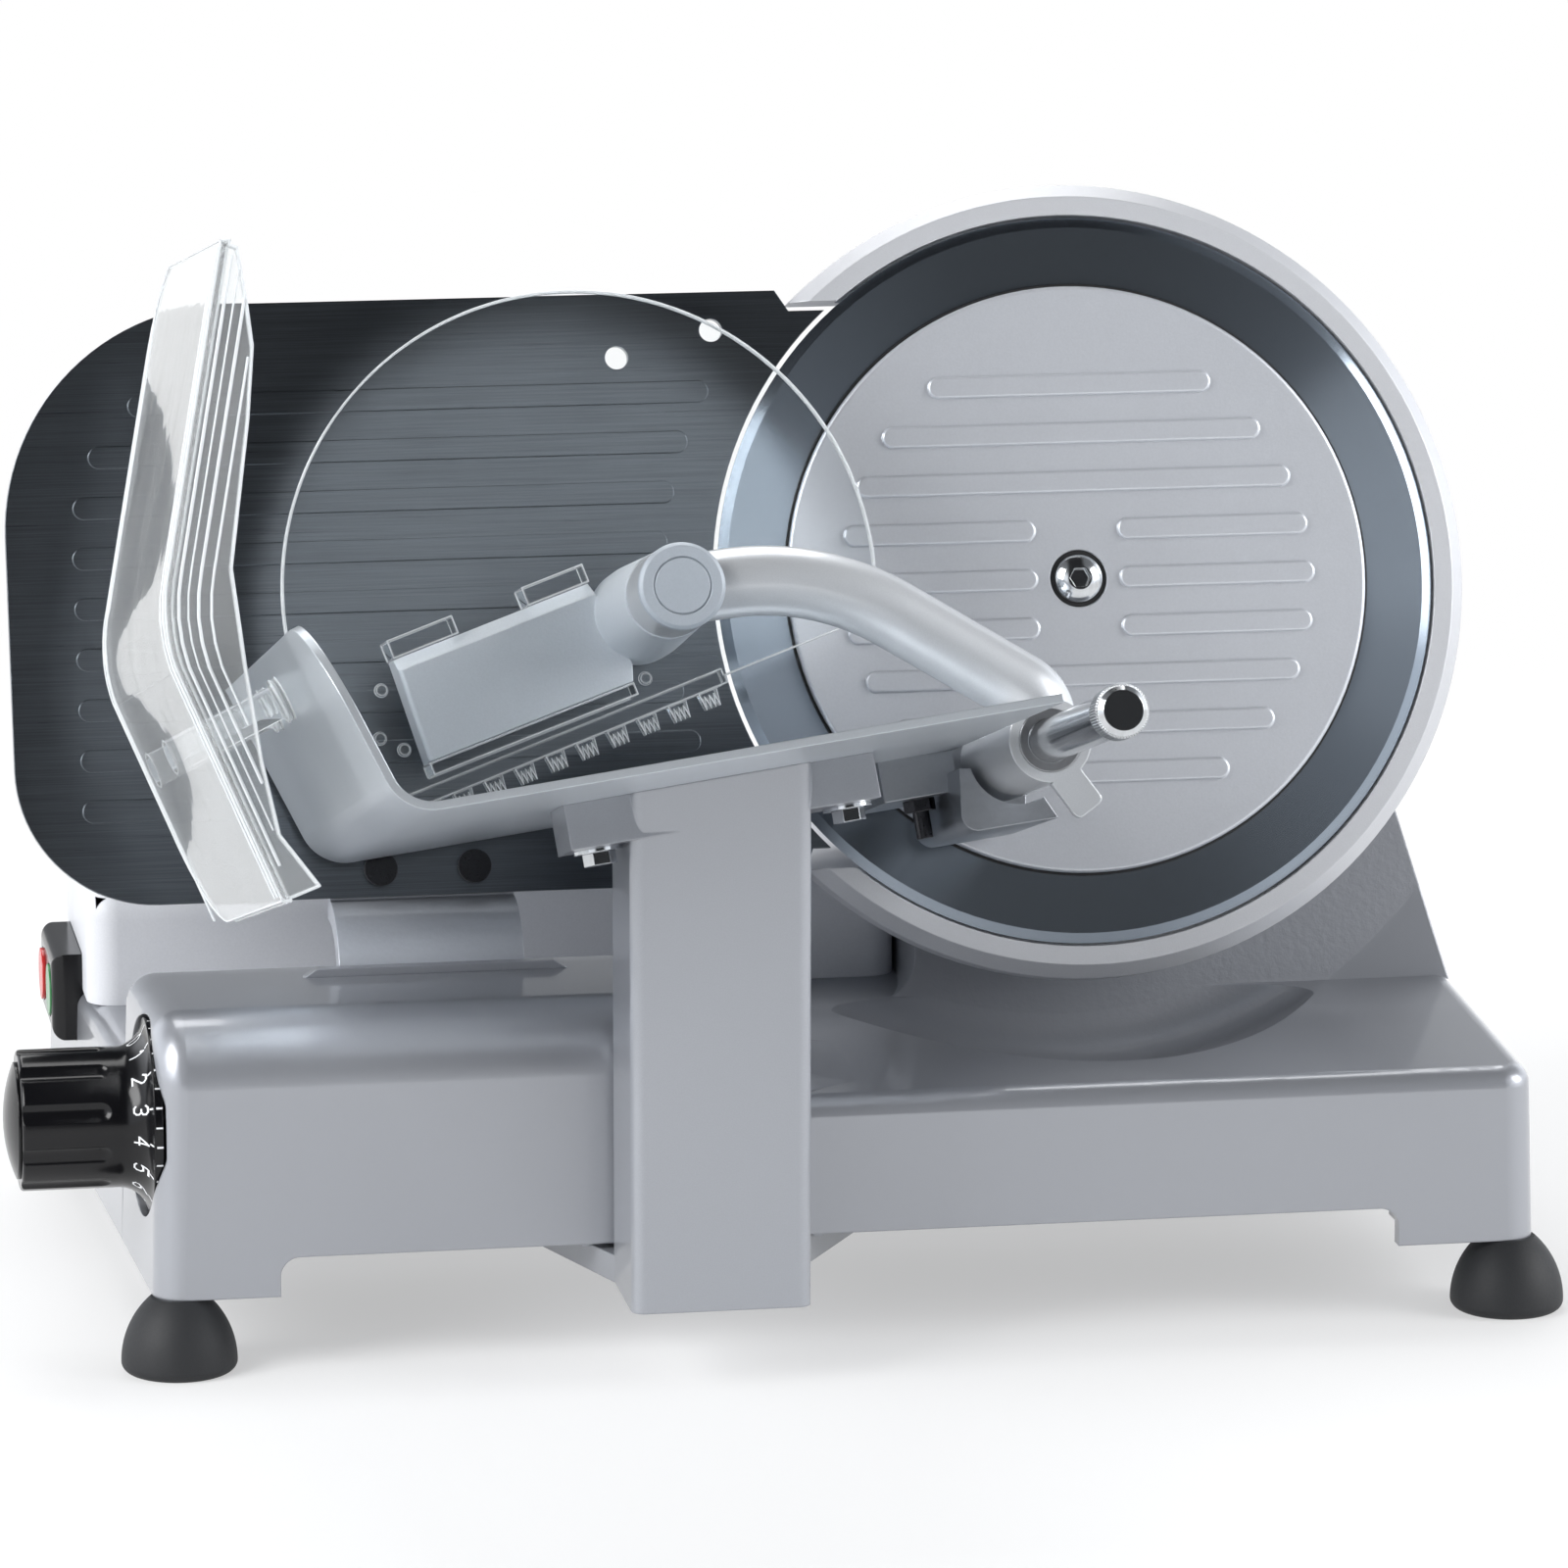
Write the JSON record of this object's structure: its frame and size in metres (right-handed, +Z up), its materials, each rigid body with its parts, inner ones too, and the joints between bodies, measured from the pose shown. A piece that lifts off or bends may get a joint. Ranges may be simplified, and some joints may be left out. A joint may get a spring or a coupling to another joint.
{
  "type": "electric food slicer",
  "caption": "Electric food slicer with leaning round blade, ribbed gauge plate, thickness knob, sliding food tray, swinging pusher with clear plate and clear hand guard.",
  "frame": {"origin": "on the table, under the middle of the machine's bounding box at rest", "axes": "+X to the operator's right along the carriage travel, +Y to the rear, +Z up; the blade leans back by 16 degrees"},
  "size_m": [0.462, 0.3874, 0.3365],
  "materials": {
    "casting": "gloss silver paint",
    "ring_cast": "fine blasted",
    "blade_steel": "polished round",
    "bright_steel": "bright",
    "brushed": "brushed along the plate",
    "disc_metal": "satin",
    "tray_metal": "satin",
    "grey_paint": "satin grey",
    "silver_paint": "satin silver",
    "grey_plastic": "fine grain",
    "cover_plastic": "matt pale grey",
    "clear": "clear plastic",
    "black_plastic": "gloss black",
    "dark_screw": "dark",
    "rubber": "matt",
    "plain_steel": "turned",
    "bearing_bronze": "sintered",
    "slide_plastic": "natural",
    "motor_paint": "dark",
    "board_green": "lacquered",
    "red_key": "gloss",
    "green_key": "gloss"
  },
  "bodies": {
    "base": {"base_casting": "casting", "bottom_plate": "plain_steel", "bottom_screws": "plain_steel", "foot_front_left": "rubber", "foot_front_right": "rubber", "foot_rear_left": "rubber", "foot_rear_right": "rubber", "foot_screws": "plain_steel", "electrics_cover": "cover_plastic", "switch_housing": "black_plastic", "cord_gland": "black_plastic", "control_board": "board_green", "tower_back_cover": "casting", "motor_cover": "cover_plastic", "motor_body": "motor_paint", "tower_screws": "plain_steel", "blade_axle": "plain_steel", "axle_nut": "plain_steel", "cover_disc": "disc_metal", "cover_screw": "bright_steel", "guard_ring": "ring_cast", "blade_bearings": "plain_steel", "drive_belt": "rubber", "guide_bar": "plain_steel", "knob_bush": "bearing_bronze", "slot_rim": "casting", "slide_rod": "plain_steel", "guide_rail": "plain_steel"},
    "blade_unit": {"blade": "blade_steel", "blade_screws": "plain_steel", "blade_hub": "plain_steel", "blade_pulley": "slide_plastic"},
    "motor_rotor": {"motor_shaft": "plain_steel", "motor_pulley": "plain_steel"},
    "knob_unit": {"thickness_knob": "black_plastic", "knob_cap": "black_plastic", "knob_shaft": "plain_steel", "spiral_cam": "slide_plastic"},
    "gauge_unit": {"gauge_plate": "brushed", "carrier_screws": "dark_screw", "gauge_carrier": "brushed", "carrier_bush": "bearing_bronze", "follower_pin": "plain_steel"},
    "carriage": {"carriage_post": "grey_paint", "carriage_bushes": "bearing_bronze", "guide_pad": "slide_plastic", "food_tray": "tray_metal", "tray_bolts": "bright_steel", "tray_washers": "bright_steel", "rod_bracket": "grey_paint", "bracket_bolt": "dark_screw", "pusher_rod": "bright_steel", "hand_guard": "clear"},
    "pusher_slider": {"sleeve_liner": "slide_plastic"},
    "pusher_arm_unit": {"pusher_arm": "silver_paint", "pusher_hub_cap": "grey_plastic"},
    "pusher_unit": {"pusher_grip": "grey_plastic", "pusher_plate": "clear"},
    "start_key": {"start_button": "green_key"},
    "stop_key": {"stop_button": "red_key"}
  },
  "joints": [
    {"name": "blade_spin", "type": "hinge", "parent": "base", "child": "blade_unit", "pos_m": [0.10041, 0.04618, 0.205], "axis": [0, -0.9613, 0.2756], "continuous": true},
    {"name": "motor_spin", "type": "hinge", "parent": "base", "child": "motor_rotor", "pos_m": [0.10041, 0.0877, 0.09947], "axis": [0, -0.9613, 0.2756], "continuous": true},
    {"name": "knob_turn", "type": "hinge", "parent": "base", "child": "knob_unit", "pos_m": [-0.20609, -0.02882, 0.0695], "axis": [-1, 0, 0], "range_deg": [0, 300]},
    {"name": "gauge_slide", "type": "slide", "parent": "base", "child": "gauge_unit", "axis": [0, 0.9613, -0.2756], "range_m": [0, 0.015]},
    {"name": "carriage_slide", "type": "slide", "parent": "base", "child": "carriage", "axis": [1, 0, 0], "range_m": [-0.062, 0.162]},
    {"name": "pusher_slide", "type": "slide", "parent": "carriage", "child": "pusher_slider", "axis": [0, -0.9613, 0.2756], "range_m": [-0.02, 0.09]},
    {"name": "pusher_swing", "type": "hinge", "parent": "pusher_slider", "child": "pusher_arm_unit", "pos_m": [0.06341, -0.05632, 0.17405], "axis": [0, 0.9613, -0.2756], "range_deg": [0, 105]},
    {"name": "pusher_tilt", "type": "hinge", "parent": "pusher_arm_unit", "child": "pusher_unit", "pos_m": [-0.04059, -0.0289, 0.21529], "axis": [0, 0.9613, -0.2756], "range_deg": [0, 18]},
    {"name": "start_press", "type": "slide", "parent": "base", "child": "start_key", "axis": [1, 0, 0], "range_m": [0, 0.0025], "stiffness_N_per_m": 600, "springref_m": -0.0015},
    {"name": "stop_press", "type": "slide", "parent": "base", "child": "stop_key", "axis": [1, 0, 0], "range_m": [0, 0.0025], "stiffness_N_per_m": 600, "springref_m": -0.0015}
  ],
  "couplings": [
    {"joint": "motor_spin", "follows": "blade_spin", "ratio": 3.5714},
    {"joint": "knob_turn", "follows": "gauge_slide", "rad_per_m": 349.07}
  ]
}
